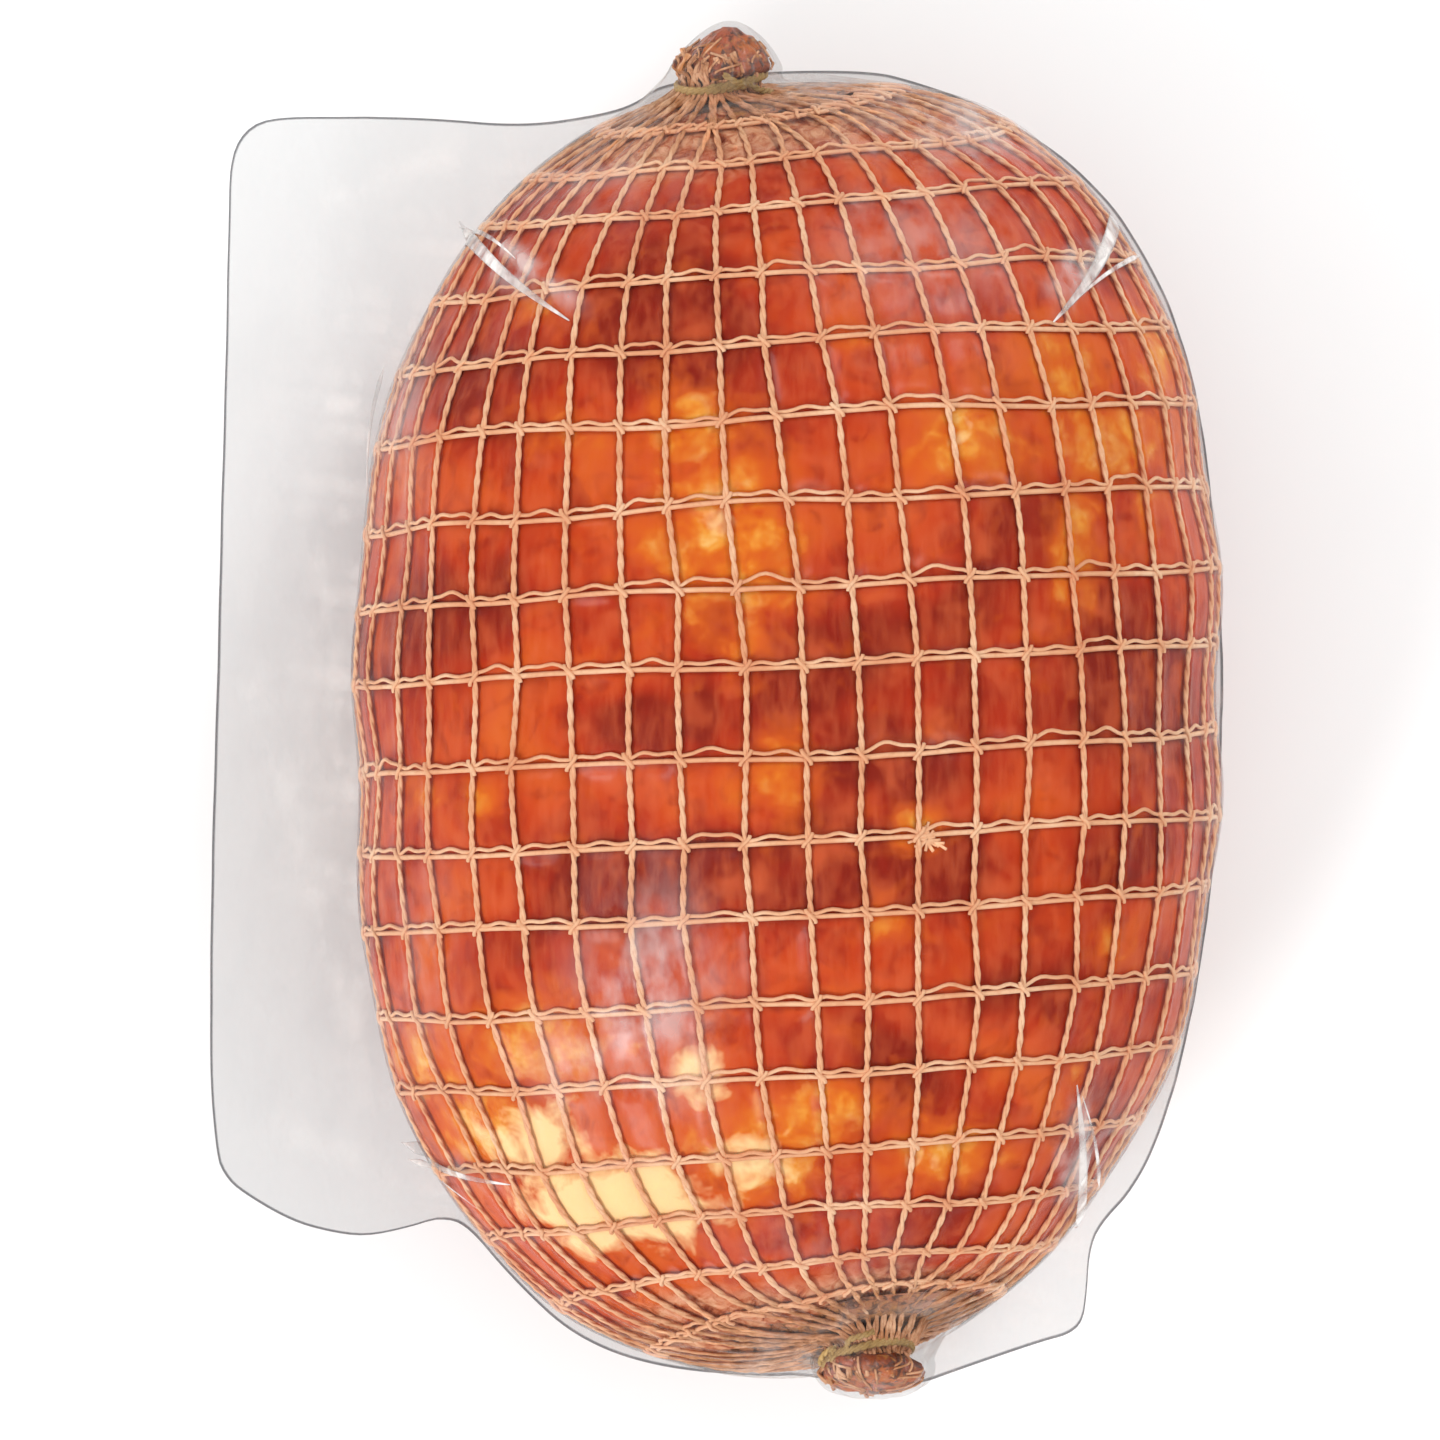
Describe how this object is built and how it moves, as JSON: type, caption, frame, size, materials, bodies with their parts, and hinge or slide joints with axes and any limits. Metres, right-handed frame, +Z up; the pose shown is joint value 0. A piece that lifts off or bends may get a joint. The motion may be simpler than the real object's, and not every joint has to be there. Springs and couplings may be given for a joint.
{
  "type": "netted ham loaf in vacuum pouch",
  "caption": "Boneless smoked ham in a knitted elastic net, tied at both ends and sealed in a clear vacuum pouch, lying on its side.",
  "frame": {"origin": "middle of the footprint's bounding box, on the surface that the pouch lies on", "axes": "+Z up; +Y along the ham from one tied end to the other; +X across the ham, away from the pouch's wide flap"},
  "size_m": [0.1794, 0.2354, 0.1157],
  "materials": {
    "meat": "satin",
    "net_yarn": "matte",
    "twine": "matte",
    "film": "gloss"
  },
  "bodies": {
    "root": {"ham": "meat", "netting": "net_yarn", "twine_tie_top": "twine", "twine_tie_bottom": "twine", "film_upper": "film", "film_lower": "film"}
  },
  "joints": []
}
